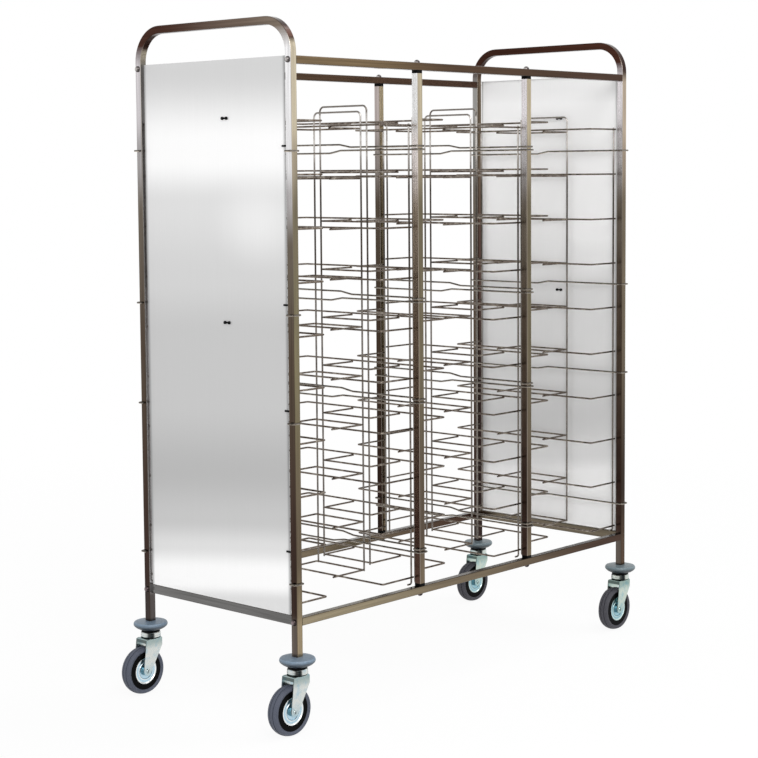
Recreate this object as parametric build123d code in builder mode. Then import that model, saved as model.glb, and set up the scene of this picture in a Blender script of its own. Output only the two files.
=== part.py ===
from build123d import *
from math import sqrt
import os

# Tray trolley: a square-tube frame with three open bays, two sheet ends, six welded wire racks
# and four swivel casters. Millimetres, Z up, floor at Z = 0. X runs along the length and the
# bays open towards -Y and +Y. The origin is on the floor under the middle of the whole.

# Tube frame
post_span_x = 1370.0
post_span_y = 550.0
bay_count = 3
tube = 20.0
tube_wall = 1.5
tube_corner = 2.0
handle_z = 1737.0
handle_bend = 80.0
handle_rise = 97.0
bottom_rail_z = 276.0
cap_collar = 7.5
cap_spigot = 20.0
bolt_d = 8.0
bolt_head_d = 16.0
bolt_head_h = 7.5
bolt_reach = 14.0

# Sheet ends and the cross tubes that carry them
panel_t = 1.0
panel_recess = 6.0
panel_gap = 7.0
panel_flange = 6.0
panel_bend = 0.6
cross_w = 12.0
cross_h = 25.0
clip_length = 23.0
clip_h = 8.0
clip_t = 3.0
clip_neck = 4.0
edge_clip_length = 18.0
edge_clip_h = 4.5
edge_clip_drop = (215.0, 598.0, 856.0, 1202.0)
middle_clip_y = -45.0
outer_clip_drop = (144.0, 651.0)
inner_clip_drop = (122.0, 642.0)

# Wire racks
wire_d = 5.0
level_count = 10
level_pitch = 131.5
low_level_z = 307.0
runner_reach = 124.5
runner_bend = 6.0
upright_inset = 13.5
upright_foot_z = 288.0
foot_length = 14.0
foot_bend = 6.0
hairpin_half = 86.0
hairpin_offset = -4.0
hairpin_rise = 40.0
hairpin_bend = 14.0
hairpin_tail = 4.0
arm_bend = 5.0
arm_outset = 1.5
arm_overhang = 5.0
rod_step = 7.0
rod_step_y = -6.0
rod_step_length = 40.0
rod_bend = 40.0
hook_bend = 4.0
hook_gap = 3.5
hook_tip = 17.0
mid_lift = 16.0
end_lift = 7.0
end_rod_drop = 5.5
rod_levels = (0, 3, 5, 8)

# Casters
wheel_d = 125.0
wheel_w = 32.0
tyre_t = 12.5
tyre_shoulder = 4.5
tread_groove_w = 2.0
tread_groove_depth = 1.2
tread_groove_y = 5.5
rim_w = 26.0
disc_d = 70.0
disc_t = 1.2
disc_bead = 1.4
rim_core_w = 22.0
hub_d = 24.0
axle_d = 8.0
axle_head_d = 12.0
axle_head_h = 4.5
axle_nut = 13.0
axle_nut_h = 6.5
caster_trail = 30.0
wheel_gap = 11.0
fork_crown_t = 4.0
fork_leg_t = 2.5
fork_side_gap = 2.5
fork_back_x = 32.0
fork_front_x = 21.0
fork_shoulder = 22.0
fork_boss_d = 25.0
fork_apron_t = 2.5
fork_apron_h = 11.0
fork_edge = 4.0
king_pin_d = 12.0
king_head_d = 22.0
king_head_h = 4.0
seal_t = 1.5
seal_d = 52.0
seal_bore = 36.0
cup_d = 55.0
cup_h = 13.0
cup_neck_d = 49.0
cup_groove = 1.6
neck_h = 6.0
stem_d = 10.0
stem_h = 34.0
bumper_d = 90.0
bumper_drop = 14.0
bumper_rise = 8.5
bumper_top_d = 34.0
bumper_bottom_d = 46.0
bumper_rim = 6.0
plug_h = 40.0

# Clearances
slide_gap = 0.1
running_gap = 0.05
free_gap = 0.5

# Derived places
frame_x = (caster_trail + wheel_d / 2 - bumper_d / 2) / 2
post_x = post_span_x / 2
post_y = post_span_y / 2
top_rail_z = handle_z - handle_rise
bay = post_span_x / bay_count
partition_x = [frame_x - post_x + i * bay for i in range(bay_count + 1)]
mid_x = partition_x[1:-1]
ends = {"left": (partition_x[0], -1), "right": (partition_x[-1], 1)}
sides = {"front": -post_y, "back": post_y}
rails = {"top": (top_rail_z, 1), "bottom": (bottom_rail_z, -1)}
tube_half = tube / 2
tube_bore = tube - 2 * tube_wall
tube_bore_corner = tube_corner / 4
tyre_bore = wheel_d - 2 * tyre_t
fork_top_z = wheel_d + wheel_gap + fork_apron_h
seal_z = fork_top_z + free_gap
cup_z = seal_z + seal_t
neck_z = cup_z + cup_h
bumper_z = neck_z + neck_h
bumper_middle = bumper_z + bumper_drop
foot_z = bumper_middle + bumper_rise
wire_r = wire_d / 2
upright_y = post_y - tube_half - upright_inset
rail_length = post_span_x - tube
mid_post_z = bottom_rail_z + tube_half + cap_collar
mid_post_h = top_rail_z - tube_half - cap_collar - mid_post_z
fork_inner = wheel_w / 2 + fork_side_gap
fork_outer = fork_inner + fork_leg_t

# Each rack hangs on one pair of posts and reaches side * X into its bay. A rack on the -X side
# of its posts is the same rack turned half round. Where two racks share a pair of posts, one is
# lifted so that their hooks go round the posts above each other.
racks = []
for i in range(bay_count):
    racks.append((f"bay_{i + 1}_left", i, 1, mid_lift if i else end_lift))
    racks.append((f"bay_{i + 1}_right", i + 1, -1, 0.0))


def on_rack(rack, x, y, z):
    """Turns a point of a rack's own frame into one of the trolley's."""
    _, partition, side, lift = rack
    return (partition_x[partition] + side * x, side * y, z + lift)


def tube_profile():
    """The hollow square of the frame's tube."""
    RectangleRounded(tube, tube, tube_corner)
    RectangleRounded(tube_bore, tube_bore, tube_bore_corner, mode=Mode.SUBTRACT)


def bent_wire(*runs):
    """A round wire along runs of points that follow each other, each with corners of its own radius."""
    with BuildPart() as wire:
        with BuildLine() as route:
            for points, bend in runs:
                FilletPolyline(*points, radius=bend)
        with BuildSketch(Plane(origin=route.wire() @ 0, z_dir=route.wire() % 0)):
            Circle(wire_r)
        sweep(path=route.wire())
    return wire.part


def save(part, name):
    """Labels a finished piece and writes it under its own name."""
    part.label = name
    export_step(part, f"parts/{name}.step")


os.makedirs("parts", exist_ok=True)

# End frames: tube bent into each pair of end posts and the push handle above them, built in straight
# and bent lengths that meet face to face
bend_z = handle_z - handle_bend
bar_y = post_y - handle_bend
for end_name, (x, outward) in ends.items():
    lengths = []
    for y in sides.values():
        with BuildPart() as post:
            with BuildSketch(Plane.XY.offset(foot_z)):
                with Locations((x, y)):
                    tube_profile()
            extrude(amount=bend_z - foot_z)
            with Locations(*[(x, y, z) for z, _ in rails.values()]):
                Cylinder(bolt_d / 2 + slide_gap, 2 * tube, rotation=(0, 90, 0), mode=Mode.SUBTRACT)
        lengths.append(post.part)
        with BuildPart() as bend:
            with BuildSketch(Plane.XY.offset(bend_z)):
                with Locations((x, y)):
                    tube_profile()
            bend_axis = Axis((x, y * bar_y / post_y, bend_z), (y / post_y, 0, 0))
            revolve(axis=bend_axis, revolution_arc=90)
        lengths.append(bend.part)
    with BuildPart() as bar:
        with BuildSketch(Plane(origin=(x, -bar_y, handle_z), x_dir=(1, 0, 0), z_dir=(0, 1, 0))):
            tube_profile()
        extrude(amount=2 * bar_y)
    lengths.append(bar.part)
    save(Compound(children=lengths), f"end_frame_{end_name}")

# Long rails between the end frames, drilled where the middle posts are bolted on
for level_name, (z, _) in rails.items():
    for side_name, y in sides.items():
        rail_start = partition_x[0] + tube_half
        with BuildPart() as rail:
            with BuildSketch(Plane(origin=(rail_start, y, z), x_dir=(0, 1, 0), z_dir=(1, 0, 0))):
                tube_profile()
            extrude(amount=rail_length)
            with Locations(*[(x, y, z) for x in mid_x]):
                Cylinder(bolt_d / 2 + slide_gap, 2 * tube, mode=Mode.SUBTRACT)
        save(rail.part, f"{level_name}_rail_{side_name}")

# Middle posts between the rails
for i, x in enumerate(mid_x, start=1):
    for side_name, y in sides.items():
        with BuildPart() as mid_post:
            with BuildSketch(Plane.XY.offset(mid_post_z)):
                with Locations((x, y)):
                    tube_profile()
            extrude(amount=mid_post_h)
        save(mid_post.part, f"mid_post_{i}_{side_name}")

# Plastic caps with a collar on the middle posts and plugs in the rails' ends, each with a bolt
# through it whose dome head lies outside
with BuildPart() as cap:
    with BuildSketch():
        RectangleRounded(tube, tube, tube_corner)
    extrude(amount=cap_collar)
    with BuildSketch(Plane.XY.offset(cap_collar)):
        spigot_w = tube_bore - 2 * slide_gap
        RectangleRounded(spigot_w, spigot_w, tube_bore_corner)
    extrude(amount=cap_spigot)
    Hole(bolt_d / 2)

with BuildPart() as rail_plug:
    with BuildSketch():
        RectangleRounded(spigot_w, spigot_w, tube_bore_corner)
        Circle(bolt_d / 2, mode=Mode.SUBTRACT)
    extrude(amount=cap_collar + cap_spigot)

with BuildPart() as bolt:
    with BuildSketch(Plane.XZ):
        with BuildLine():
            head_r = bolt_head_d / 2
            shank_end = tube + cap_collar + bolt_reach
            Polyline(
                (0, -bolt_head_h), (0, shank_end), (bolt_d / 2, shank_end), (bolt_d / 2, 0), (head_r, 0)
            )
            TangentArc((0, -bolt_head_h), (head_r, 0), tangent=(1, 0))
        make_face()
    revolve(axis=Axis.Z)

cap_places = []
plug_places = []
bolt_places = []
for z, upward in rails.values():
    for y in sides.values():
        for x, outward in ends.values():
            toward = (-outward, 0, 0)
            plug_places.append(Plane(origin=(x - outward * tube_half, y, z), z_dir=toward))
            bolt_places.append(Plane(origin=(x + outward * tube_half, y, z), z_dir=toward))
        for x in mid_x:
            toward = (0, 0, -upward)
            cap_places.append(Plane(origin=(x, y, z - upward * tube_half), z_dir=toward))
            bolt_places.append(Plane(origin=(x, y, z + upward * tube_half), z_dir=toward))

with BuildPart() as tube_caps:
    with Locations(*cap_places):
        add(cap.part)
save(tube_caps.part, "tube_caps")

with BuildPart() as rail_plugs:
    with Locations(*plug_places):
        add(rail_plug.part)
save(rail_plugs.part, "rail_plugs")

with BuildPart() as frame_bolts:
    with Locations(*bolt_places):
        add(bolt.part)
save(frame_bolts.part, "frame_bolts")

# Sheet ends on cross tubes, set back from the outer faces of the end posts
inner_span_y = post_span_y - tube
cross_z = bottom_rail_z - tube_half
panel_z = cross_z + cross_h
panel_top = top_rail_z + tube_half
panel_h = panel_top - panel_z
panel_w = inner_span_y - 2 * panel_gap
for end_name, (x, outward) in ends.items():
    panel_x = x + outward * (tube_half - panel_recess)
    cross_x = panel_x - outward * (panel_t + cross_w / 2)
    with BuildPart() as cross_tube:
        cross_origin = (cross_x, -inner_span_y / 2, cross_z + cross_h / 2)
        with BuildSketch(Plane(origin=cross_origin, x_dir=(1, 0, 0), z_dir=(0, 1, 0))):
            RectangleRounded(cross_w, cross_h, tube_corner)
            RectangleRounded(
                cross_w - 2 * tube_wall, cross_h - 2 * tube_wall, tube_bore_corner, mode=Mode.SUBTRACT
            )
        extrude(amount=inner_span_y)
    save(cross_tube.part, f"end_cross_tube_{end_name}")

    profile_plane = Plane(
        origin=(panel_x, -outward * panel_w / 2, panel_z), x_dir=(-outward, 0, 0), z_dir=(0, outward, 0)
    )
    with BuildPart() as end_panel:
        with BuildSketch(profile_plane) as profile:
            with BuildLine():
                Polyline(
                    (0, 0),
                    (panel_flange, 0),
                    (panel_flange, panel_t),
                    (panel_t, panel_t),
                    (panel_t, panel_h - panel_t),
                    (panel_flange, panel_h - panel_t),
                    (panel_flange, panel_h),
                    (0, panel_h),
                    close=True,
                )
            make_face()
            fillet(profile.vertices().group_by(Axis.X)[0], panel_bend)
        extrude(amount=panel_w)
    save(end_panel.part, f"end_panel_{end_name}")

# Double-headed clips on the sheet ends at mid-width, and slim ones from the front posts over the edge
with BuildPart() as clip:
    with BuildSketch():
        with GridLocations(clip_length - clip_h, 0, 2, 1):
            Circle(clip_h / 2)
        Rectangle(clip_length - clip_h, clip_neck)
    extrude(amount=clip_t)

with BuildPart() as edge_clip:
    with BuildSketch():
        Rectangle(edge_clip_length, edge_clip_h)
    extrude(amount=clip_t)
    fillet(edge_clip.faces().sort_by(Axis.Z)[-1].edges(), clip_t / 3)

clip_places = []
edge_places = []
for x, outward in ends.values():
    outer_x = x + outward * (tube_half - panel_recess)
    inner_x = outer_x - outward * panel_t
    edge_y = edge_clip_length / 2 - inner_span_y / 2
    for z in [panel_top - drop for drop in edge_clip_drop]:
        edge_places.append(Plane(origin=(outer_x, edge_y, z), x_dir=(0, 1, 0), z_dir=(outward, 0, 0)))
    for z in [panel_top - drop for drop in outer_clip_drop]:
        clip_places.append(Plane(origin=(outer_x, middle_clip_y, z), x_dir=(0, 1, 0), z_dir=(outward, 0, 0)))
    for z in [panel_top - drop for drop in inner_clip_drop]:
        clip_places.append(Plane(origin=(inner_x, middle_clip_y, z), x_dir=(0, 1, 0), z_dir=(-outward, 0, 0)))

with BuildPart() as panel_clips:
    with Locations(*clip_places):
        add(clip.part)
    with Locations(*edge_places):
        add(edge_clip.part)
save(panel_clips.part, "panel_clips")

# Wire racks: uprights in a plane one wire behind the rods, a hairpin in the middle of that plane,
# and on every level a runner bent round the tray's edge with a smaller loop welded under it
rod_x = tube_half + wire_r
upright_x = rod_x - wire_d
runner_y = upright_y + wire_d
arm_half = hairpin_half + arm_outset
arm_x = upright_x - arm_bend + sqrt((arm_bend + wire_d) ** 2 - (arm_bend - arm_outset) ** 2)
level_heights = [low_level_z + k * level_pitch for k in range(level_count)]
hairpin_low = low_level_z - wire_d - hairpin_tail
hairpin_top = level_heights[-1] + hairpin_rise
runner_x = upright_x - wire_r
for rack in racks:
    name, partition, side, lift = rack
    foot = (panel_z + wire_r if partition in (0, bay_count) else upright_foot_z) - lift
    uprights = []
    for y in (-upright_y, upright_y):
        upright_path = [
            on_rack(rack, upright_x, y, level_heights[-1] + wire_d),
            on_rack(rack, upright_x, y, foot),
            on_rack(rack, upright_x + foot_length, y, foot),
        ]
        uprights.append(bent_wire((upright_path, foot_bend)))
    near, far = hairpin_offset - hairpin_half, hairpin_offset + hairpin_half
    hairpin_path = [
        on_rack(rack, upright_x, near, hairpin_low),
        on_rack(rack, upright_x, near, hairpin_top),
        on_rack(rack, upright_x, far, hairpin_top),
        on_rack(rack, upright_x, far, hairpin_low),
    ]
    uprights.append(bent_wire((hairpin_path, hairpin_bend)))
    save(Compound(children=uprights), f"rack_{name}_uprights")

    runner_path = [
        on_rack(rack, runner_x, -runner_y, low_level_z),
        on_rack(rack, runner_reach, -runner_y, low_level_z),
        on_rack(rack, runner_reach, runner_y, low_level_z),
        on_rack(rack, runner_x, runner_y, low_level_z),
    ]
    loop_z = low_level_z - wire_d
    near, far = hairpin_offset - arm_half, hairpin_offset + arm_half
    loop_path = [
        on_rack(rack, runner_reach + arm_overhang, near, loop_z),
        on_rack(rack, arm_x, near, loop_z),
        on_rack(rack, arm_x, far, loop_z),
        on_rack(rack, runner_reach + arm_overhang, far, loop_z),
    ]
    level = [bent_wire((runner_path, runner_bend)), bent_wire((loop_path, arm_bend))]
    shelves = [Pos(0, 0, k * level_pitch) * wire for k in range(level_count) for wire in level]
    save(Compound(children=shelves), f"rack_{name}_shelves")

# Rods that carry the racks: each runs past a front and a back post with a small step between, and
# its ends are bent into square hooks round the posts
hook_y = post_y + tube_half + wire_r
tip_x = -(rod_x + hook_gap)
tip_y = post_y + tube_half - hook_tip
hook_root_y = post_y - tube_half
step_near = rod_step_y - rod_step_length / 2
step_far = rod_step_y + rod_step_length / 2
for rack in racks:
    drop = end_rod_drop if rack is racks[0] else 0.0
    rod_middle = low_level_z + level_pitch / 2 - drop
    low_z = rod_middle - rod_step / 2
    high_z = rod_middle + rod_step / 2
    near_hook = [
        on_rack(rack, tip_x, -tip_y, low_z),
        on_rack(rack, tip_x, -hook_y, low_z),
        on_rack(rack, rod_x, -hook_y, low_z),
        on_rack(rack, rod_x, -hook_root_y, low_z),
    ]
    stepped = [
        on_rack(rack, rod_x, -hook_root_y, low_z),
        on_rack(rack, rod_x, step_near, low_z),
        on_rack(rack, rod_x, step_far, high_z),
        on_rack(rack, rod_x, hook_root_y, high_z),
    ]
    far_hook = [
        on_rack(rack, rod_x, hook_root_y, high_z),
        on_rack(rack, rod_x, hook_y, high_z),
        on_rack(rack, tip_x, hook_y, high_z),
        on_rack(rack, tip_x, tip_y, high_z),
    ]
    rod = bent_wire((near_hook, hook_bend), (stepped, rod_bend), (far_hook, hook_bend))
    rods = [Pos(0, 0, k * level_pitch) * rod for k in rod_levels]
    save(Compound(children=rods), f"rack_{rack[0]}_rods")

# Casters, drawn with the swivel on the Z axis and then set under each end post
corners = {}
for side_name, y in sides.items():
    for end_name, (x, _) in ends.items():
        corners[f"{side_name}_{end_name}"] = (x, y, 0)

wheel_r = wheel_d / 2
wheel_axis = Axis((-caster_trail, 0, wheel_r), (0, 1, 0))
wheel_plane = Plane(origin=(-caster_trail, 0, wheel_r), x_dir=(0, 0, 1), z_dir=(-1, 0, 0))

# Lens-shaped bumper disc between the post's foot and the swivel head
with BuildPart() as bumper:
    with BuildSketch(Plane.XZ):
        with BuildLine():
            hole_r = stem_d / 2 + slide_gap
            rim_r = bumper_d / 2 - bumper_rim / 2
            low = (rim_r, bumper_middle - bumper_rim)
            high = (rim_r, bumper_middle + bumper_rim)
            Line((hole_r, bumper_z), (bumper_bottom_d / 2, bumper_z))
            TangentArc((bumper_bottom_d / 2, bumper_z), low, tangent=(1, 0))
            ThreePointArc(low, (bumper_d / 2, bumper_middle), high)
            TangentArc((bumper_top_d / 2, foot_z), high, tangent=(1, 0))
            Line((bumper_top_d / 2, foot_z), (hole_r, foot_z))
            Line((hole_r, foot_z), (hole_r, bumper_z))
        make_face()
    revolve(axis=Axis.Z)

# Black spacer above the swivel head and lip seal below it
with BuildPart() as seals:
    with BuildSketch(Plane.XY.offset(neck_z)):
        Circle(cup_neck_d / 2)
        Circle(stem_d / 2 + slide_gap, mode=Mode.SUBTRACT)
    extrude(amount=neck_h)
    with BuildSketch(Plane.XY.offset(seal_z)):
        Circle(seal_d / 2)
        Circle(seal_bore / 2, mode=Mode.SUBTRACT)
    extrude(amount=seal_t)

# Swivel head: stem, double cup and the king pin whose head holds the fork
with BuildPart() as head:
    with BuildSketch(Plane.XZ):
        with BuildLine():
            pin_r = king_pin_d / 2
            king_top = fork_top_z - fork_crown_t - free_gap
            cup_mid = cup_z + cup_h / 2
            cup_r = cup_d / 2
            groove_r = cup_r - cup_groove
            Polyline(
                (0, foot_z + stem_h),
                (stem_d / 2, foot_z + stem_h),
                (stem_d / 2, neck_z),
                (cup_neck_d / 2, neck_z),
            )
            upper = (groove_r, cup_mid + cup_groove / 2)
            RadiusArc((cup_neck_d / 2, neck_z), upper, cup_h / 2)
            lower = (groove_r, cup_mid - cup_groove / 2)
            Line(upper, lower)
            RadiusArc(lower, (groove_r, cup_z), cup_h / 2)
            Polyline(
                (groove_r, cup_z),
                (pin_r, cup_z),
                (pin_r, king_top),
                (king_head_d / 2, king_top),
                (king_head_d / 2, king_top - king_head_h / 2),
                (pin_r, king_top - king_head_h),
                (0, king_top - king_head_h),
                (0, foot_z + stem_h),
            )
        make_face()
    revolve(axis=Axis.Z)

# Square plug inside the post's foot, on the stem
with BuildPart() as plug:
    with BuildSketch(Plane.XY.offset(foot_z)):
        plug_w = tube_bore - 2 * slide_gap
        RectangleRounded(plug_w, plug_w, tube_bore_corner)
        Circle(stem_d / 2 + slide_gap, mode=Mode.SUBTRACT)
    extrude(amount=plug_h)

# Pressed fork: a tapering side outline across the whole width, opened below for the wheel
with BuildPart() as fork:
    with BuildSketch(Plane.XZ):
        with Locations(((fork_front_x - fork_back_x) / 2, fork_top_z - fork_shoulder / 2)):
            Rectangle(fork_front_x + fork_back_x, fork_shoulder)
        with Locations((-caster_trail, wheel_r)):
            Circle(fork_boss_d / 2)
        make_hull()
    extrude(amount=fork_outer, both=True)
    top_edges = fork.faces().sort_by(Axis.Z)[-1].edges()
    fillet(top_edges, fork_edge)
    apron_z = fork_top_z - fork_apron_h
    with BuildSketch(Plane.XZ):
        with BuildLine():
            Polyline(
                (-fork_back_x + fork_apron_t, fork_top_z - fork_crown_t),
                (2 * fork_front_x, fork_top_z - fork_crown_t),
                (2 * fork_front_x, -wheel_r),
                (-wheel_d, -wheel_r),
                (-wheel_d, apron_z),
                (-fork_back_x + fork_apron_t, apron_z),
                close=True,
            )
        make_face()
    extrude(amount=fork_inner, both=True, mode=Mode.SUBTRACT)
    with Locations((0, 0, fork_top_z)):
        Cylinder(king_pin_d / 2 + running_gap, 2 * fork_apron_h, mode=Mode.SUBTRACT)
    with Locations((-caster_trail, 0, wheel_r)):
        Cylinder(axle_d / 2 + running_gap, 3 * fork_outer, rotation=(90, 0, 0), mode=Mode.SUBTRACT)

# Axle bolt with a dome head in front and a nut behind
with BuildPart() as axle:
    with BuildSketch(wheel_plane):
        with BuildLine():
            head_y = -fork_outer - axle_head_h
            axle_r = axle_d / 2
            axle_head_r = axle_head_d / 2
            axle_end = fork_outer + axle_nut_h
            Polyline(
                (0, head_y),
                (0, axle_end),
                (axle_r, axle_end),
                (axle_r, -fork_outer),
                (axle_head_r, -fork_outer),
            )
            TangentArc((0, head_y), (axle_head_r, -fork_outer), tangent=(1, 0))
        make_face()
    revolve(axis=wheel_axis)
    with BuildSketch(Plane(origin=(-caster_trail, fork_outer, wheel_r), z_dir=(0, 1, 0))):
        RegularPolygon(axle_nut / 2, 6, major_radius=False)
    extrude(amount=axle_nut_h)

# Black plastic rim with its hub, bored to run on the axle
with BuildPart() as rim:
    with BuildSketch(wheel_plane):
        with Locations((tyre_bore / 4, 0)):
            Rectangle(tyre_bore / 2, rim_core_w)
        with Locations(((tyre_bore + disc_d) / 4, 0)):
            Rectangle((tyre_bore - disc_d) / 2, rim_w)
        with Locations((hub_d / 4, 0)):
            Rectangle(hub_d / 2, 2 * (fork_inner - free_gap))
        with Locations((axle_d / 4, 0)):
            Rectangle(axle_d / 2 + 2 * running_gap, 4 * fork_outer, mode=Mode.SUBTRACT)
    revolve(axis=wheel_axis)

# Grey tyre with a round crown and two shallow grooves
with BuildPart() as tyre:
    with BuildSketch(wheel_plane):
        with BuildLine():
            half_w = wheel_w / 2
            bead_r = tyre_bore / 2
            shoulder_r = wheel_r - tyre_shoulder
            Polyline(
                (shoulder_r, -half_w),
                (bead_r + tyre_shoulder, -half_w),
                (bead_r, -rim_w / 2),
                (bead_r, rim_w / 2),
                (bead_r + tyre_shoulder, half_w),
                (shoulder_r, half_w),
            )
            ThreePointArc((shoulder_r, half_w), (wheel_r, 0), (shoulder_r, -half_w))
        make_face()
        with Locations((wheel_r, -tread_groove_y), (wheel_r, tread_groove_y)):
            Rectangle(2 * tread_groove_depth + tread_groove_w, tread_groove_w, mode=Mode.SUBTRACT)
    revolve(axis=wheel_axis)

# Stamped discs over both faces of the rim's core, each with a bead and a rolled edge
with BuildPart() as discs:
    with BuildSketch(wheel_plane):
        for face in (-1, 1):
            with BuildLine():
                seat = face * rim_core_w / 2
                plate = seat + face * disc_t
                raised = plate + face * disc_bead
                inner_r = hub_d / 2 + slide_gap
                outer_r = disc_d / 2 - slide_gap
                bead_in = (inner_r + outer_r) / 2 - disc_bead
                Polyline((inner_r, seat), (inner_r, plate), (bead_in - disc_bead, plate))
                ThreePointArc((bead_in - disc_bead, plate), (bead_in, raised), (bead_in + disc_bead, plate))
                Polyline(
                    (bead_in + disc_bead, plate),
                    (outer_r - 2 * disc_bead, plate),
                    (outer_r - disc_bead, raised),
                    (outer_r, raised),
                    (outer_r, seat),
                    (inner_r, seat),
                )
            make_face()
    revolve(axis=wheel_axis)

# Pieces of the casters that stay with the frame
fixed_pieces = {"bumpers": bumper, "head_seals": seals, "swivel_heads": head, "foot_plugs": plug}
for name, piece in fixed_pieces.items():
    with BuildPart() as group:
        with Locations(*corners.values()):
            add(piece.part)
    save(group.part, name)

# Pieces that swivel and roll
moving_pieces = {"fork": fork, "axle": axle, "rim": rim, "tyre": tyre, "wheel_discs": discs}
for corner_name, corner in corners.items():
    for name, piece in moving_pieces.items():
        with BuildPart() as placed:
            with Locations(corner):
                add(piece.part)
        save(placed.part, f"{name}_{corner_name}")
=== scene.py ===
import math

import bmesh
import bpy
from mathutils import Matrix, Vector


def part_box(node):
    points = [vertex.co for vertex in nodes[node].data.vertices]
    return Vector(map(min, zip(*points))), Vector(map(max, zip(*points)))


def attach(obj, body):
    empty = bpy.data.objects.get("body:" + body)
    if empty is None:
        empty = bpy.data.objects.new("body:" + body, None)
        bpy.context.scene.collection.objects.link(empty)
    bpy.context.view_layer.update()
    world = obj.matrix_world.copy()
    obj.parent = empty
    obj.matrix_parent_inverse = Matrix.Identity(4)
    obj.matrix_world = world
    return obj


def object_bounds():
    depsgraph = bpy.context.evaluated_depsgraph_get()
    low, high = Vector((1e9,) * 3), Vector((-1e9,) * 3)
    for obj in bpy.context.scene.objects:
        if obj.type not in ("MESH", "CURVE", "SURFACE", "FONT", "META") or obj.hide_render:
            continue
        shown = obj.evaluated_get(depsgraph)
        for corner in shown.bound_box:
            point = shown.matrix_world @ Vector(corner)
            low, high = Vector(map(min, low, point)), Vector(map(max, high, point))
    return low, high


bl_info = {
    "name": "Tray trolley",
    "version": (1, 0, 0),
    "blender": (4, 5, 0),
    "location": "3D View > Sidebar > Trolley",
    "description": "Finishes the packed tray trolley, with weld beads, studio and camera",
    "category": "Object",
}

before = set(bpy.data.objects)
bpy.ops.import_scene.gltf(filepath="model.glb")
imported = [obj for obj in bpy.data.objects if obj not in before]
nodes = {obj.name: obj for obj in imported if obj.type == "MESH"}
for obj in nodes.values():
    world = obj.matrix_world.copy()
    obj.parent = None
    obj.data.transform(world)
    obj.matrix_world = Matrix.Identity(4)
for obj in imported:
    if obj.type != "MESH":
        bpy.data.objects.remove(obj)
cad_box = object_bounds()
CORNERS = ("front_left", "front_right", "back_left", "back_right")
ENDS = ("left", "right")
SIDES = ("front", "back")
BAYS = (1, 2, 3)
MM = 0.001

# Ground lines: their distance and length in millimetres, coarser than the real ones to be seen
TUBE_LINES = (5.0, 250.0)
SHEET_LINES = (1.5, 200.0)
# What the lines do to tone and roughness, from their lowest to their highest, and their relief
TUBE_STREAK, TUBE_ROUGH, TUBE_BUMP = (0.68, 1.32), (0.12, 0.3), 0.08
SHEET_STREAK, SHEET_ROUGH, SHEET_BUMP = (0.96, 1.04), (0.42, 0.55), 0.03
LINE_DEPTH = 0.2 * MM

# How much of a normal points at a tube's narrow faces where its broad ones end and the narrow begin
FACE_TURN = (0.15, 0.95)
# How strongly the painted corner tones of a tube's rounded corners show, painted shade and painted
# highlight
CORNER_GAIN = 3.0
# Distances from the trolley's middle between which the painted reflection on an end post's inner
# face sets in
INNER_FACE = (266 * MM, 265.2 * MM)
# Height over which a bend takes on the painted reflection tones of the handle's bar
BEND_RISE = 54 * MM
# Front and back end of the bar's run of painted reflection tones
BAR_REACH = (-260 * MM, 200 * MM)

# Share of metal, and a painted brightening that stands in for light, on a sheet's inner face and on
# its outer one
SHEET_METAL, SHEET_PAINTED_LIFT = (0.2, 0.55), (1.36, 1.0)
# Slope of the painted reflection bands on the sheets: at the floor, and how it changes with each
# metre of height
BAND_LEAN = (0.171, -0.124)
# Painted highlight on the sheets: place and half width across, height and half height, in
# millimetres
PATCH_Y, PATCH_WIDE = -160, 200
PATCH_Z, PATCH_TALL = 1250, 140
PATCH_SHARE = 0.46
# Painted shadow in a strip along the sheets' upright edges, and how far it darkens
EDGE_STRIP, EDGE_SHADE = 9 * MM, 0.7

# Start and width of the range that holds nearly all values of the noise in a mottled finish
NOISE_START, NOISE_SPREAD = 0.3, 0.4
# Roughness of a mottled finish at the lowest and highest noise, as a share of its own
GLOSS_SHARE = (0.8, 1.25)
# Depth of a mottled finish's relief, as a share of its grain
RELIEF_SHARE = 0.1

# Heights of a rack's rods above the lowest one, in level pitches
ROD_LEVELS = (0, 3, 5, 8)
# Radius of the zinc bush in a wheel, and the soft step at its edge
BUSH, BUSH_EDGE = 12.2 * MM, 0.2 * MM
# Places along the trolley between which the casters' painted light changes, with painted shade on
# the right pair
CASTER_SPAN = (-600 * MM, 600 * MM)

FLOOR_HALF = 60.0
# Distances over which the floor's white glow grows, and its share at either end
GLOW_REACH, GLOW_SHARE = (1.2, 4.0), (0.92, 1.0)
ROOM_LIGHT = 0.7
# Lamps with their place, size and power, all turned to one point
LAMPS = (("key", (-3.2, -4.2, 4.6), 4.2, 190.0), ("fill", (2.6, -1.6, 6.0), 3.5, 110.0))
LAMP_AIM = (0.0, 0.0, 0.9)
# The camera's sensor in millimetres, and how far it sees in metres
SENSOR_WIDTH, SIGHT = 36.0, 100.0


def linear(code):
    """Turns an sRGB hex colour into linear red, green and blue."""
    parts = [int(code[i:i + 2], 16) / 255 for i in (0, 2, 4)]
    return tuple(c / 12.92 if c <= 0.04045 else ((c + 0.055) / 1.055) ** 2.4 for c in parts)


def colour(code, name, description):
    """A colour property with its default from a hex code."""
    return bpy.props.FloatVectorProperty(
        name=name, description=description, subtype="COLOR", size=3, min=0.0, max=1.0,
        default=linear(code),
    )


def length(value, name, description):
    """A length property in metres."""
    return bpy.props.FloatProperty(name=name, description=description, default=value, unit="LENGTH")


def angle(degrees, name, description):
    """An angle property, given in degrees."""
    return bpy.props.FloatProperty(
        name=name, description=description, default=math.radians(degrees), subtype="ANGLE"
    )


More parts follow.
